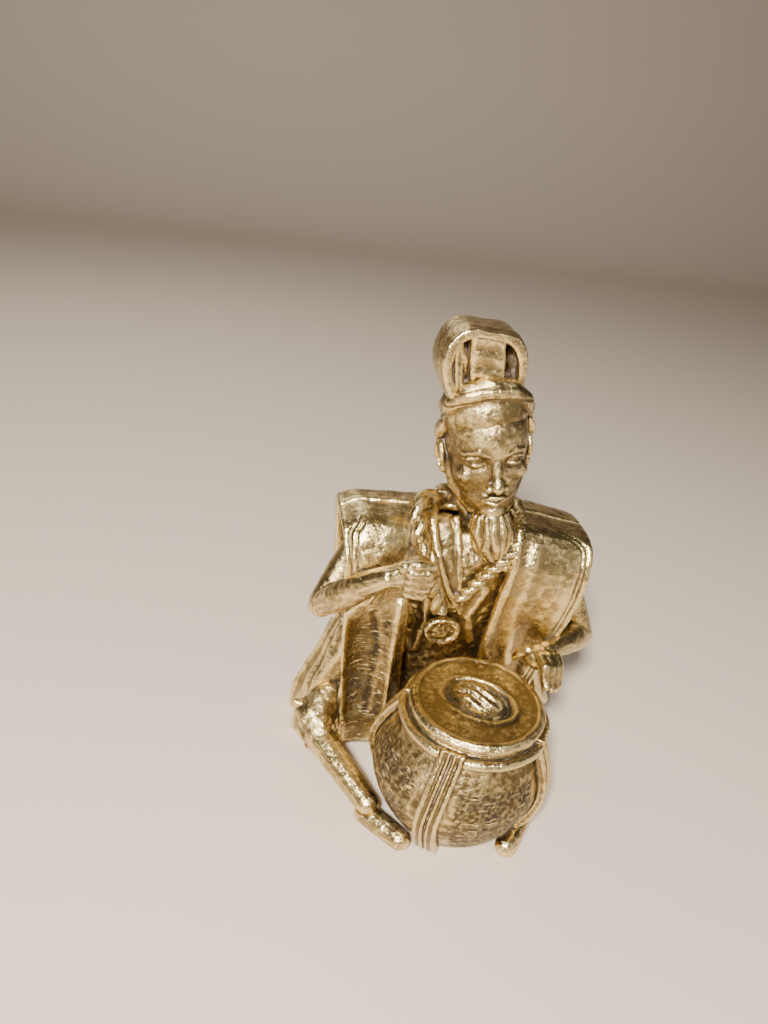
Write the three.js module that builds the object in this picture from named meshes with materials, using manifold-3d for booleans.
// Seated figure behind a lidded pot: a small brass souvenir cast by the lost-wax method.
// Millimetres, +Z up. The figure faces -Y, so its right side is at -X.
// Each piece that the maker forms on its own and welds on is one mesh. Only the lid comes off.
import * as THREE from "three";
import { mergeVertices } from "three/addons/utils/BufferGeometryUtils.js";
import Module from "manifold-3d";

const wasm = await Module();
wasm.setup();

// ---------- Driving dimensions ----------

const gap = 0.3; // between two pieces that touch
const sheet = 1.4; // thickness of the robe

// Where the middle of the footprint lies, seen from the floor point under the neck.
const footprintMiddle = { x: -0.76, y: -15.23 };

// Pot, lid and straps
const bellyRadius = 17.6;
const bellyHeight = 14;
const baseRadius = 0.6 * bellyRadius;
const mouthRadius = 0.75 * bellyRadius; // outside of the rim
const potHeight = 28.2;
const potWall = 1.5;
const potSideways = -1.7; // the pot stands a little to the figure's right
const mouthShift = 1.6; // and its mouth comes back to the left
const lidRadius = mouthRadius + 0.6;
const lidThickness = 2.2;
const lidTopBevel = 0.8;
const plugDepth = 1.6;
const plugClearance = 0.9; // lets the lid leave on a slant
const plugTaper = 0.7;
const handleLength = 11.4;
const handleWidth = 8.6;
const handleHeight = 2.6;
const handleTurn = -36; // degrees
const strapWidth = 4.6;
const strapThickness = 1.3;
const firstStrapAngle = -31; // degrees from the front, towards +X
const strapCount = 4;
const ringWireRadius = 0.95;
const ringDrop = 1.3; // from the rim down to the ring wire's middle

// Torso, an oval column
const hipHalfWidth = 13.5;
const chestHalfWidth = 15.5;
const waistHalfWidth = 12.5;
const hipHalfDepth = 7.8;
const torsoHeight = 57;

// Robe
const shoulderHeight = torsoHeight + 3.4;
const shoulderRise = 0.06; // per mm outwards, on the right
const shoulderFall = 0.2; // per mm outwards, on the left
const shoulderReachRight = 29;
const shoulderReachLeft = 25.4;
const frontHem = 3.5;
const backSkirtFlare = 2.5;
const backWrap = 4; // how far the back's side edges come forward, low down

// Head, leaning to the figure's right
const headHalfWidth = 8.7;
const headHalfDepth = 9.6;
const headHalfHeight = 13.2;
const headLift = 17.8; // neck base to the middle of the head
const neckRadius = 4.6;
const neckSideways = 2;
const headLean = 9; // degrees
const wrapThickness = 1.3;
const wrapEdgeHeight = 12; // above the middle of the head, where the edge crosses the crown
const wrapEdgeSlope = 24; // degrees between the edge and upright
const loopWidth = 16.6;
const loopHeight = 15;
const loopSink = 4.2; // how far its feet reach down beside the crown
const loopWall = 1.4;
const loopDepth = 9.6;
const loopSideways = -1.9;

// Limbs
const upperArmRadius = 3.3;
const forearmRadius = 2.7;
const fistRadius = 4;
const handRadius = 3;
const fingerRadius = 1.5;
const shinRadius = 3.2;
const ankleRadius = 2.3;
const kneeRadius = 5.4;
const footRadius = 2.6;

// Ornaments
const cordRadius = 1.4;
const braidRadius = 1.6;
const pendantRadius = 4.1;
const pendantThickness = 2.2;

// ---------- Places worked out from those dimensions ----------

const depthShare = hipHalfDepth / hipHalfWidth;
const chestHalfDepth = chestHalfWidth * depthShare;
const potAxis = new THREE.Vector3(potSideways, -(hipHalfDepth + 2 * gap + bellyRadius), 0);
const mouthMiddle = new THREE.Vector3(potAxis.x + mouthShift, potAxis.y, 0);
const lidSeat = potHeight + gap;
const lidTop = lidSeat + lidThickness;

// ---------- Tools ----------

/** A closed three.js geometry as a solid that can be cut and joined. */
function solid(geometry) {
  const bare = geometry.index ? geometry.toNonIndexed() : geometry.clone();
  bare.deleteAttribute("normal");
  bare.deleteAttribute("uv");
  const merged = mergeVertices(bare, 1e-4);
  return new wasm.Manifold(
    new wasm.Mesh({
      numProp: 3,
      vertProperties: merged.attributes.position.array,
      triVerts: new Uint32Array(merged.index.array),
    }),
  );
}

/** A solid back as a geometry that a mesh can hold. */
function toGeometry(body) {
  const made = body.getMesh();
  const positions = new Float32Array(made.numVert * 3);
  for (let i = 0; i < made.numVert; i++) {
    positions.set(made.vertProperties.subarray(i * made.numProp, i * made.numProp + 3), i * 3);
  }
  return new THREE.BufferGeometry()
    .setAttribute("position", new THREE.BufferAttribute(positions, 3))
    .setIndex(new THREE.BufferAttribute(new Uint32Array(made.triVerts), 1));
}

const brass = {
  bright: { color: 0xc9a45a, roughness: 0.34, metalness: 1 },
  worn: { color: 0x9c7438, roughness: 0.46, metalness: 1 },
  dark: { color: 0x6e522b, roughness: 0.58, metalness: 1 },
};

/** A named mesh of one solid in one of the three brass finishes. */
function piece(name, body, finish) {
  const mesh = new THREE.Mesh(toGeometry(body), new THREE.MeshStandardMaterial(brass[finish]));
  mesh.name = name;
  return mesh;
}

const cut = (body, ...others) => others.reduce((left, other) => left.subtract(other), body);

/** The largest of the separate bodies that a cut leaves. */
const largest = (body) => body.decompose().sort((a, b) => b.volume() - a.volume())[0];

const point = (x, y, z) => new THREE.Vector3(x, y, z);

const degrees = THREE.MathUtils.degToRad;

/** A profile of [radius, height] pairs turned about the Z axis. */
function turned(profile, segments = 36) {
  const points = profile.map(([radius, height]) => new THREE.Vector2(radius, height));
  return new THREE.LatheGeometry(points, segments).rotateX(Math.PI / 2);
}

/** A rounded bar from one point to another, with its own radius at each end. */
function limb(from, to, fromRadius, toRadius, grow = 0) {
  const steps = 4;
  const length = from.distanceTo(to);
  const a = fromRadius + grow;
  const b = toRadius + grow;
  const profile = [];
  for (let i = 0; i <= steps; i++) {
    const turn = ((i / steps) * Math.PI) / 2;
    profile.push([a * Math.sin(turn), -a * Math.cos(turn)]);
  }
  for (let i = 0; i <= steps; i++) {
    const turn = ((i / steps) * Math.PI) / 2;
    profile.push([b * Math.cos(turn), length + b * Math.sin(turn)]);
  }
  profile[0][0] = 0;
  profile.at(-1)[0] = 0;
  const along = to.clone().sub(from).normalize();
  const toward = new THREE.Quaternion().setFromUnitVectors(point(0, 0, 1), along);
  return solid(turned(profile, 14).applyQuaternion(toward).translate(from.x, from.y, from.z));
}

/** An egg of three half sizes about a middle. */
function egg(middle, halfSizes, grow = 0) {
  const ball = new THREE.SphereGeometry(1, 20, 12).rotateX(Math.PI / 2);
  ball.scale(halfSizes.x + grow, halfSizes.y + grow, halfSizes.z + grow);
  return solid(ball.translate(middle.x, middle.y, middle.z));
}

/** A box between two corners. */
function block(low, high) {
  const size = high.clone().sub(low);
  const middle = low.clone().add(high).multiplyScalar(0.5);
  const box = new THREE.BoxGeometry(size.x, size.y, size.z);
  return solid(box.translate(middle.x, middle.y, middle.z));
}

/** A bead of wire that follows a smooth curve through its points. */
function wire(points, radius, steps, grow = 0) {
  const section = new THREE.Shape().absarc(0, 0, radius + grow, 0, 2 * Math.PI, false);
  return solid(
    new THREE.ExtrudeGeometry(section, {
      steps,
      curveSegments: 8,
      bevelEnabled: false,
      extrudePath: new THREE.CatmullRomCurve3(points),
    }),
  );
}

/** The outline of a strip along a smooth curve through [x, y] pairs, larger all round by a grow. */
function ribbon(pairs, thickness, grow = 0, steps = 22) {
  const curve = new THREE.SplineCurve(pairs.map(([x, y]) => new THREE.Vector2(x, y)));
  const left = [];
  const right = [];
  for (let i = 0; i <= steps; i++) {
    const at = curve.getPoint(i / steps);
    const along = curve.getTangent(i / steps);
    if (i === 0) {
      at.addScaledVector(along, -grow);
    }
    if (i === steps) {
      at.addScaledVector(along, grow);
    }
    const side = new THREE.Vector2(-along.y, along.x).multiplyScalar(thickness / 2 + grow);
    left.push(at.clone().add(side));
    right.push(at.clone().sub(side));
  }
  return new THREE.Shape([...left, ...right.reverse()]);
}

/** How far the shoulder line lies above its height at the neck, at a distance across. */
function shoulderOffset(x) {
  if (x > 0) {
    return -shoulderFall * Math.max(0, x - 2 * neckRadius);
  }
  return shoulderRise * Math.max(0, -x - chestHalfWidth);
}

/**
 * A shape drawn in the side view (its x is Y, its y is Z), carried across the shoulders.
 * Its side edges come forward by a wrap, more and more towards the floor.
 */
function acrossShoulders(shape, wrap = 0) {
  const low = -shoulderReachRight - 4;
  const high = shoulderReachLeft + 4;
  const drawn = new THREE.ExtrudeGeometry(shape, {
    depth: high - low,
    steps: 12,
    bevelEnabled: false,
  });
  const turn = new THREE.Matrix4().makeBasis(point(0, 1, 0), point(0, 0, 1), point(1, 0, 0));
  drawn.applyMatrix4(turn).translate(low, 0, 0);
  const at = drawn.attributes.position;
  for (let i = 0; i < at.count; i++) {
    const share = Math.max(0, (at.getZ(i) - bellyHeight) / (shoulderHeight - bellyHeight));
    const across = at.getX(i) / shoulderReachRight;
    at.setY(i, at.getY(i) - wrap * (1 - Math.min(share, 1)) * across * across);
    at.setZ(i, at.getZ(i) + share * shoulderOffset(at.getX(i)));
  }
  return solid(drawn);
}

/** A shape drawn in the front view (its x is X, its y is Z), carried along Y. */
function fromFront(shape, lowY, highY) {
  const drawn = new THREE.ExtrudeGeometry(shape, {
    depth: highY - lowY,
    bevelEnabled: false,
    curveSegments: 10,
  });
  return solid(drawn.rotateX(Math.PI / 2).translate(0, highY, 0));
}

const outline = (pairs) => new THREE.Shape(pairs.map(([x, y]) => new THREE.Vector2(x, y)));

/** A point beside an upright axis: degrees from the front towards +X, distance and height. */
function beside(axis, angle, distance, height) {
  const turn = degrees(angle);
  return point(axis.x + distance * Math.sin(turn), axis.y - distance * Math.cos(turn), height);
}

// ---------- Pot ----------

/** The pot's outer curve as [radius, height] pairs, moved outwards by an offset. */
function potCurve(offset, steps = 13) {
  const neckFoot = potHeight - ringDrop - ringWireRadius - gap;
  const curve = new THREE.SplineCurve([
    new THREE.Vector2(baseRadius, 0),
    new THREE.Vector2((2 * baseRadius + bellyRadius) / 3, 0.2 * bellyHeight),
    new THREE.Vector2(bellyRadius - 1.6, 0.58 * bellyHeight),
    new THREE.Vector2(bellyRadius, bellyHeight),
    new THREE.Vector2((2 * bellyRadius + mouthRadius) / 3, (bellyHeight + neckFoot) / 2),
    new THREE.Vector2(mouthRadius, neckFoot),
  ]);
  const pairs = [];
  for (let i = 0; i <= steps; i++) {
    const at = curve.getPoint(i / steps);
    const along = curve.getTangent(i / steps);
    pairs.push([at.x + along.y * offset, at.y - along.x * offset]);
  }
  pairs.push([mouthRadius + offset, potHeight]);
  return pairs;
}

/** Stands a shape at the pot, its upper half sliding across with the mouth. */
function standAtPot(geometry) {
  geometry.translate(potAxis.x, potAxis.y, 0);
  const at = geometry.attributes.position;
  for (let i = 0; i < at.count; i++) {
    const share = (at.getZ(i) - bellyHeight) / (potHeight - bellyHeight);
    at.setX(i, at.getX(i) + mouthShift * THREE.MathUtils.clamp(share, 0, 1));
  }
  return geometry;
}

function potBody() {
  const inside = potCurve(-potWall)
    .reverse()
    .map(([radius, height]) => [radius, Math.max(height, potWall)]);
  const bottom = [
    [inside.at(-1)[0], potWall],
    [0, potWall],
  ];
  const profile = [[0, 0], ...potCurve(0), ...inside.slice(0, -1), ...bottom];
  return solid(standAtPot(turned(profile, 40)));
}

/** The full outside of the pot, for cutting what leans on it. */
function potOutside(grow) {
  const profile = [[0, -grow], ...potCurve(grow), [0, potHeight + grow]];
  return solid(standAtPot(turned(profile, 40)));
}

/** A box that runs outwards from the pot's axis at a strap. */
function strapSlab(angle, width) {
  const length = 2 * bellyRadius;
  const slab = new THREE.BoxGeometry(width, length, 2 * potHeight, 1, 1, 24);
  slab.translate(0, -length / 2, potHeight / 2).rotateZ(degrees(angle));
  return solid(standAtPot(slab));
}

function strap(angle, grow = 0) {
  const inner = potCurve(Math.max(gap - grow, 0.01));
  const outer = potCurve(gap + strapThickness + grow);
  const floor = (pairs) => pairs.map(([radius, height]) => [radius, Math.max(height, 0)]);
  const loop = [...floor(outer), ...floor(inner).reverse()];
  const shell = solid(standAtPot(turned([...loop, loop[0]], 72)));
  return shell.intersect(strapSlab(angle, strapWidth + 2 * grow));
}

const strapAngles = Array.from(
  { length: strapCount },
  (_, i) => firstStrapAngle + (i * 360) / strapCount,
);

/** The wire under the lid, between one strap and the next. */
function ringWire(index) {
  const radius = mouthRadius + gap + ringWireRadius;
  const hoop = new THREE.TorusGeometry(radius, ringWireRadius, 8, 72);
  hoop.translate(0, 0, potHeight - ringDrop);
  const opened = strapAngles.map((angle) => strapSlab(angle, strapWidth + 2 * gap));
  const arcs = cut(solid(standAtPot(hoop)), ...opened).decompose();
  const turnOf = (body) => {
    const box = body.boundingBox();
    const x = (box.min[0] + box.max[0]) / 2 - mouthMiddle.x;
    const y = (box.min[1] + box.max[1]) / 2 - mouthMiddle.y;
    return Math.atan2(y, x);
  };
  return arcs.sort((a, b) => turnOf(a) - turnOf(b))[index];
}

function potLid() {
  const mouthInside = mouthRadius - potWall;
  const profile = [
    [0, lidSeat - plugDepth],
    [mouthInside - plugClearance - plugTaper, lidSeat - plugDepth],
    [mouthInside - plugClearance, lidSeat],
    [lidRadius, lidSeat],
    [lidRadius, lidTop - lidTopBevel],
    [lidRadius - lidTopBevel, lidTop],
    [0, lidTop],
  ];
  return solid(standAtPot(turned(profile, 48)));
}

function lidHandle() {
  const whole = egg(point(0, 0, 0), point(handleLength / 2, handleWidth / 2, handleHeight));
  const reach = handleLength;
  const half = cut(whole, block(point(-reach, -reach, -reach), point(reach, reach, 0)));
  return half.rotate([0, 0, handleTurn]).translate([mouthMiddle.x, mouthMiddle.y, lidTop + gap]);
}

// ---------- Torso and robe ----------

function torso(grow = 0) {
  const chestHeight = torsoHeight - 11;
  const profile = [
    [0, -grow],
    [hipHalfWidth + grow, -grow],
    [hipHalfWidth + 0.3 + grow, 8],
    [waistHalfWidth + grow, 20],
    [waistHalfWidth + grow, chestHeight - 14],
    [chestHalfWidth + grow, chestHeight],
    [chestHalfWidth - 1 + grow, chestHeight + 6],
    [2 * neckRadius + grow, torsoHeight - 0.5 + grow],
    [0, torsoHeight + grow],
  ];
  return solid(turned(profile, 40).scale(1, depthShare, 1));
}

const frontSheetY = -(chestHalfDepth + gap + sheet / 2);
const lapSheetY = -(hipHalfDepth + 2 * gap + sheet / 2);

/** The robe's front, one sheet from the shoulder ridge down to the hem. */
function frontSheet(grow) {
  const ridge = shoulderHeight - sheet / 2;
  const path = [
    [-gap / 2, ridge],
    [-6.5, ridge - 0.8],
    [frontSheetY, ridge - 6.5],
    [frontSheetY - 0.4, torsoHeight - 12],
    [frontSheetY + 0.4, torsoHeight - 26],
    [lapSheetY, 18],
    [lapSheetY, frontHem],
  ];
  return acrossShoulders(ribbon(path, sheet, grow));
}

/** The part of a sheet that shows through an outline in the front view. */
function shownThrough(body, pairs) {
  const reach = 3 * chestHalfDepth;
  return body.intersect(fromFront(outline(pairs), -reach, reach));
}

function robeFrontRight(grow = 0) {
  return shownThrough(frontSheet(grow), [
    [-shoulderReachRight - grow, shoulderHeight + 4],
    [-shoulderReachRight + 2 - grow, torsoHeight - 13],
    [-hipHalfWidth - 10.5 - grow, frontHem - grow],
    [-waistHalfWidth + 0.8 + grow, frontHem - grow],
    [-waistHalfWidth + 0.6 + grow, 20],
    [-chestHalfWidth + 1.5 + grow, torsoHeight - 12],
    [-chestHalfWidth + 2.5 + grow, shoulderHeight + 4],
  ]);
}

function robeFrontLeft(grow = 0) {
  return shownThrough(frontSheet(grow), [
    [neckSideways + neckRadius + 1.4 - grow, shoulderHeight + 4],
    [waistHalfWidth - 8.2 - grow, torsoHeight - 25],
    [waistHalfWidth - 7 - grow, frontHem + 4 - grow],
    [hipHalfWidth + 1 + grow, frontHem + 4 - grow],
    [shoulderReachLeft - 5 + grow, torsoHeight - 26],
    [shoulderReachLeft - 2 + grow, torsoHeight - 12],
    [shoulderReachLeft + grow, shoulderHeight + 4],
  ]);
}

function robeBack(grow = 0) {
  const ridge = shoulderHeight - sheet / 2;
  const backSheetY = chestHalfDepth + gap + sheet / 2;
  const path = [
    [gap / 2 + 0.2, ridge],
    [6, ridge - 0.8],
    [backSheetY, ridge - 6],
    [backSheetY + 0.3, torsoHeight - 14],
    [backSheetY + 0.3, 24],
    [backSheetY + backSkirtFlare / 2, 10],
    [backSheetY + backSkirtFlare, sheet / 2 + gap],
  ];
  return shownThrough(acrossShoulders(ribbon(path, sheet, grow), backWrap), [
    [-shoulderReachRight - grow, shoulderHeight + 4],
    [-shoulderReachRight + 2 - grow, torsoHeight - 15],
    [-hipHalfWidth - 12 - grow, 28],
    [-hipHalfWidth - 15 - grow, 0],
    [hipHalfWidth + 11 + grow, 0],
    [hipHalfWidth + 9 + grow, 28],
    [shoulderReachLeft - 2 + grow, torsoHeight - 15],
    [shoulderReachLeft + grow, shoulderHeight + 4],
  ]);
}

// ---------- Head ----------

const neckBase = point(neckSideways, 0, torsoHeight + gap);
const headMiddle = point(0, -1, headLift);
const crownHeight = headLift + headHalfHeight;
const loopTop = crownHeight + 2 * gap + wrapThickness + loopHeight - loopSink;

const leanMatrix = new THREE.Matrix4()
  .makeTranslation(neckBase.x, neckBase.y, neckBase.z)
  .multiply(new THREE.Matrix4().makeRotationY(degrees(-headLean)));

/** A solid made about an upright neck, leaned and put on the torso. */
const leaned = (body) => body.transform(leanMatrix.elements);

const skull = (grow = 0) =>
  egg(headMiddle, point(headHalfWidth, headHalfDepth, headHalfHeight), grow);
const neck = (grow = 0) =>
  limb(point(0, 0.5, -2), point(0, 0, headLift - 8), neckRadius, neckRadius, grow);
const ears = (grow = 0) => {
  const [right, left] = [-1, 1].map((side) =>
    egg(point(side * headHalfWidth, 0, headLift - 1.5), point(1.6, 2, 3.4), grow),
  );
  return right.add(left);
};

const jaw = (grow = 0) =>
  egg(
    point(0, -0.52 * headHalfDepth, headLift - 0.62 * headHalfHeight),
    point(0.6 * headHalfWidth, 0.42 * headHalfDepth, 0.38 * headHalfHeight),
    grow,
  );

function headAndNeck() {
  const joined = skull().add(neck()).add(jaw()).add(ears());
  return cut(leaned(joined), torso(gap));
}

/** What lies in front of the wrap's sloping edge. */
function beforeWrapEdge() {
  const reach = 4 * headHalfHeight;
  const slab = new THREE.BoxGeometry(reach, reach, reach).translate(0, -reach / 2, 0);
  slab.rotateX(degrees(wrapEdgeSlope));
  return solid(slab.translate(0, headMiddle.y - 4, headLift + wrapEdgeHeight));
}

function headwrapBand() {
  const shell = cut(skull(gap + wrapThickness), skull(gap), beforeWrapEdge());
  return leaned(cut(shell, ears(gap), neck(gap)));
}

/** The front view of the standing loop, moved inwards by an inset. */
function loopOutline(inset) {
  const halfWidth = loopWidth / 2;
  const wide = (halfWidth - inset) / halfWidth;
  const bend = [
    [-0.78, 0],
    [-1, 0.35],
    [-1.02, 0.62],
    [-0.76, 0.9],
    [-0.36, 1],
    [0.2, 0.94],
    [0.72, 0.86],
    [1, 0.62],
    [1, 0.3],
    [0.9, 0],
  ];
  const foot = loopTop - loopHeight;
  const curve = new THREE.SplineCurve(
    bend.map(
      ([x, y]) =>
        new THREE.Vector2(loopSideways + x * halfWidth * wide, foot + y * (loopHeight - inset)),
    ),
  );
  return new THREE.Shape(curve.getPoints(26));
}

const loopFrontY = headMiddle.y - loopDepth / 2;
const loopBackY = headMiddle.y + loopDepth / 2;
const wrapAround = () => skull(2 * gap + wrapThickness);

function headwrapLoop() {
  const outside = fromFront(loopOutline(0), loopFrontY, loopBackY);
  const inside = fromFront(loopOutline(loopWall), loopFrontY - 1, loopBackY + 1);
  const underFoot = block(point(-50, -50, 0), point(50, 50, loopTop - loopHeight + 1));
  return leaned(cut(outside, inside, wrapAround(), underFoot));
}

/** A folded length of cloth that stands inside the loop, between two distances across. */
function headwrapPleat(fromX, toX) {
  const inside = fromFront(loopOutline(loopWall + gap), loopFrontY + gap, loopBackY - gap);
  const reach = 3 * loopWidth;
  const slab = block(point(loopSideways + fromX, -reach, 0), point(loopSideways + toX, reach, reach));
  return leaned(cut(inside.intersect(slab), wrapAround()));
}

const headAndNeckAround = () => leaned(skull(gap).add(neck(gap)).add(jaw(gap)));

function beard() {
  const chin = point(-0.2, -0.72 * headHalfDepth, headLift - headHalfHeight - 1.4);
  const tip = point(0.4, -0.96 * headHalfDepth, headLift - headHalfHeight - 5.8);
  const whole = cut(leaned(limb(chin, tip, 3.4, 2.2)), headAndNeckAround(), torso(gap));
  return largest(whole);
}

// ---------- Arms ----------

const shoulderRight = point(-chestHalfWidth - 6.8, 0, torsoHeight - 5);
const elbowRight = point(-chestHalfWidth - 15.5, -6.5, torsoHeight - 18);
const fistMiddle = point(
  -chestHalfWidth + 0.9,
  frontSheetY - sheet / 2 - 2 * braidRadius - 3.6,
  torsoHeight - 2.9,
);
const wristRight = fistMiddle.clone().add(point(-5.4, 1.2, -1.6));

const shoulderLeft = point(chestHalfWidth + 5.4, 1, torsoHeight - 7.5);
const elbowLeft = point(chestHalfWidth + 15.4, -2, torsoHeight - 28);
const palm = beside(mouthMiddle, 122, lidRadius + 2 * gap + handRadius, lidTop + 3.4);
const fingerRoot = beside(mouthMiddle, 104, lidRadius + 2 * gap + 2.6 * fingerRadius, lidTop + 2.6);
const fingerTip = beside(mouthMiddle, 92, lidRadius + 2 * gap + fingerRadius, lidTop - 0.2);
const thumbTip = beside(mouthMiddle, 136, lidRadius + 2 * gap + fingerRadius, lidTop + 1.2);
const wristLeft = palm.clone().add(point(4.2, 3.1, -0.4));

const forearmRight = (grow = 0) =>
  limb(elbowRight, wristRight, forearmRadius + 0.4, forearmRadius - 0.3, grow);
const forearmLeft = (grow = 0) =>
  limb(elbowLeft, wristLeft, forearmRadius + 0.4, forearmRadius - 0.5, grow);
const upperArmRight = (grow = 0) =>
  limb(shoulderRight, elbowRight, upperArmRadius, upperArmRadius - 0.4, grow);
const upperArmLeft = (grow = 0) =>
  limb(shoulderLeft, elbowLeft, upperArmRadius, upperArmRadius - 0.4, grow);
const fist = (grow = 0) => egg(fistMiddle, point(fistRadius, fistRadius - 0.7, fistRadius), grow);

function hand() {
  const fingers = limb(fingerRoot, fingerTip, fingerRadius + 0.5, fingerRadius - 0.2);
  const knuckles = limb(palm, fingerRoot, handRadius - 0.6, fingerRadius + 0.5);
  const thumb = limb(palm, thumbTip, fingerRadius + 0.3, fingerRadius - 0.3);
  return egg(palm, point(handRadius, handRadius, handRadius)).add(fingers).add(knuckles).add(thumb);
}

// ---------- Legs ----------

const kneeRight = point(-hipHalfWidth - 16.6, -9, kneeRadius + 4.6);
const kneeLeft = point(hipHalfWidth + 5.4, -8.5, kneeRadius + 2.6);
const footHeight = footRadius - 0.5;
const ankleRight = beside(potAxis, -81, bellyRadius + 0.8, ankleRadius + 2.4);
const ankleLeft = beside(potAxis, 74, bellyRadius - 1.4, ankleRadius + 2);
const toesRight = beside(potAxis, -51, baseRadius + 5, footHeight);
const toesLeft = beside(potAxis, 39, baseRadius + 5.2, footHeight);

const shin = (knee, ankle, grow = 0) =>
  limb(knee.clone().add(point(0, -2.5, -1.5)), ankle, shinRadius, ankleRadius, grow);
const kneeCuff = (knee, grow = 0) =>
  egg(knee, point(kneeRadius, kneeRadius, kneeRadius - 0.6), grow);

const underFloor = block(point(-200, -200, -50), point(200, 200, 0));

/** The side of the robe that falls over a thigh, from under the elbow down to the floor. */
function skirt(side, knee) {
  const front = lapSheetY + sheet / 2 + 2 * gap + 2;
  const inner = side * (hipHalfWidth - 2);
  const outer = side * (Math.abs(knee.x) + 0.55 * kneeRadius);
  const seen = [
    [inner, gap],
    [outer, gap],
    [outer, 7],
    [side * (hipHalfWidth + 11), 30],
    [inner, 33],
  ];
  return fromFront(outline(side > 0 ? seen : seen.reverse()), front, chestHalfDepth - gap);
}

/** A foot lying on the floor from the ankle to the toes. */
function foot(ankle, toes) {
  const heel = point(ankle.x, ankle.y, footHeight);
  return limb(heel, toes, footRadius - 0.2, footRadius - 0.4);
}

// ---------- Ornaments ----------

const chestFace = -(chestHalfDepth + gap);
const pendantMiddle = point(-5, chestFace - pendantThickness / 2 + 1, torsoHeight - 22);

const cordPath = [
  point(neckSideways + neckRadius + 2.2, -1.5, torsoHeight + 3),
  point(neckSideways + neckRadius + 1.6, -7, torsoHeight + 1.4),
  point(neckSideways + neckRadius, chestFace - cordRadius + 1, torsoHeight - 2),
  point(1, chestFace - cordRadius, torsoHeight - 7.5),
  point(-3.4, chestFace - cordRadius - 0.2, torsoHeight - 13.5),
];
const cord = (grow = 0) => wire(cordPath, cordRadius, 22, grow);

const braidFace = frontSheetY - sheet / 2 - gap;
const ridgeFace = shoulderHeight + gap;
const braidPath = [
  point(neckSideways - neckRadius - 3.4, 2, ridgeFace + braidRadius - 1),
  point(-chestHalfWidth + 4.4, -1.5, ridgeFace + braidRadius + 0.2),
  point(-chestHalfWidth + 2.2, -5.5, ridgeFace + braidRadius - 0.4),
  point(-chestHalfWidth + 2.4, braidFace + 0.6, ridgeFace - 3.4),
  point(-chestHalfWidth + 3.8, braidFace - braidRadius, torsoHeight - 2),
  point(-chestHalfWidth + 5.6, braidFace - braidRadius, torsoHeight - 8),
  point(pendantMiddle.x - 2.2, braidFace - braidRadius + 0.6, pendantMiddle.z + pendantRadius + 2.4),
];
const braid = (grow = 0) => wire(braidPath, braidRadius, 30, grow);

function pendant() {
  const disc = turned(
    [
      [0, 0],
      [pendantRadius, 0],
      [pendantRadius, pendantThickness],
      [0, pendantThickness],
    ],
    28,
  );
  disc.translate(0, 0, -pendantThickness / 2).rotateX(Math.PI / 2).scale(1, 1, 0.84);
  return solid(disc.translate(pendantMiddle.x, pendantMiddle.y, pendantMiddle.z));
}

// ---------- Assembly ----------

const straps = strapAngles.map((angle) => strap(angle));
const strapsAround = strapAngles.map((angle) => strap(angle, gap));
const potAround = [potOutside(gap), ...strapsAround];
const mouthAround = solid(
  standAtPot(
    turned([
      [0, potHeight - 4],
      [lidRadius + gap, potHeight - 4],
      [lidRadius + gap, lidTop + 20],
      [0, lidTop + 20],
    ]),
  ),
);
const neckAround = leaned(neck(gap));
const headAround = headAndNeckAround();
const armsAround = [forearmRight(gap), forearmLeft(gap), upperArmRight(gap), upperArmLeft(gap)];
const rightFrontAround = robeFrontRight(gap);
const leftFrontAround = robeFrontLeft(gap);
const backAround = robeBack(gap);

const figure = new THREE.Group();
figure.position.set(-footprintMiddle.x, -footprintMiddle.y, 0);

/** Adds a named piece, cut clear of its neighbours and rid of loose crumbs. */
function add(name, finish, body, ...around) {
  figure.add(piece(name, largest(cut(body, ...around)), finish));
}

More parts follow.
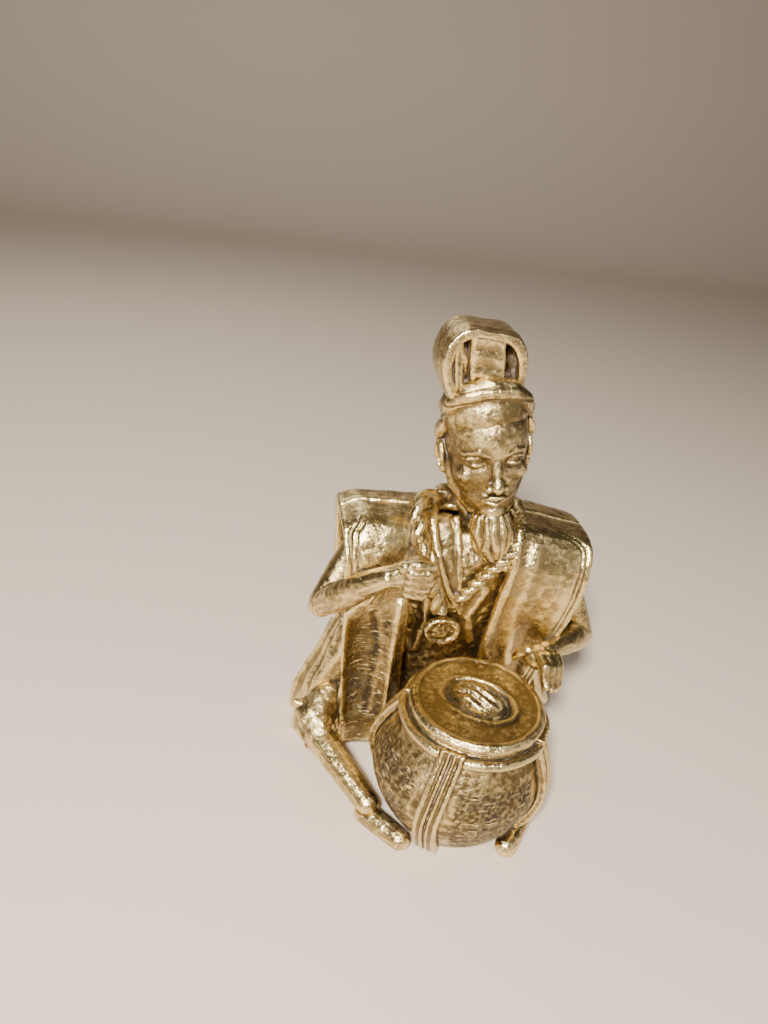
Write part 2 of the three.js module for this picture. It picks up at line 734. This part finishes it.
const frontAround = [torso(gap), backAround, ...potAround, mouthAround, neckAround, ...armsAround];
add("torso", "dark", torso());
add("robe_back", "bright", robeBack(), torso(gap), neckAround);
add("robe_front_right", "bright", robeFrontRight(), ...frontAround);
add("robe_front_left", "bright", robeFrontLeft(), ...frontAround);
add("head", "worn", headAndNeck());
add("beard", "bright", beard(), leftFrontAround, rightFrontAround, cord(gap), braid(gap));
add("headwrap_band", "worn", headwrapBand());
add("headwrap_loop", "bright", headwrapLoop());
add("headwrap_pleat_centre", "bright", headwrapPleat(-2.6, 3.4));
add("headwrap_pleat_side", "bright", headwrapPleat(-5.6, -4.4));

for (const [name, side, knee] of [
  ["skirt_right", -1, kneeRight],
  ["skirt_left", 1, kneeLeft],
]) {
  const fronts = [rightFrontAround, leftFrontAround, kneeCuff(knee, gap)];
  add(name, "worn", skirt(side, knee), torso(gap), backAround, ...fronts, ...armsAround, ...potAround);
}

add("right_upper_arm", "worn", upperArmRight(), torso(gap), backAround, forearmRight(gap));
add("right_forearm", "worn", forearmRight());
add("right_fist", "bright", fist(), forearmRight(gap));
add("left_upper_arm", "worn", upperArmLeft(), torso(gap), backAround, forearmLeft(gap));
add("left_forearm", "worn", forearmLeft());
add("left_hand", "bright", hand(), forearmLeft(gap), mouthAround, ...potAround);

for (const [side, knee, ankle, toes] of [
  ["right", kneeRight, ankleRight, toesRight],
  ["left", kneeLeft, ankleLeft, toesLeft],
]) {
  const around = [...potAround, underFloor];
  const shinAround = shin(knee, ankle, gap);
  const fronts = [leftFrontAround, rightFrontAround];
  add(side + "_knee_cuff", "worn", kneeCuff(knee), ...around, ...fronts, shinAround);
  add(side + "_shin", "bright", shin(knee, ankle), ...around);
  add(side + "_foot", "bright", foot(ankle, toes), ...around, shinAround);
}

const chestAround = [torso(gap), headAround, backAround];
const fistAround = [fist(gap), forearmRight(gap)];
add("necklace_cord", "bright", cord(), ...chestAround, leftFrontAround);
add("necklace_braid", "bright", braid(), ...chestAround, rightFrontAround, ...fistAround, cord(gap));
add("pendant", "worn", pendant(), torso(gap), braid(gap), cord(gap));

add("pot_body", "dark", potBody());
straps.forEach((body, i) => {
  add("pot_strap_" + (i + 1), "worn", body, underFloor);
  add("pot_ring_wire_" + (i + 1), "worn", ringWire(i));
});
add("pot_lid", "worn", potLid());
add("lid_handle", "bright", lidHandle());

const souvenir = new THREE.Group();
souvenir.add(figure);

export default souvenir;
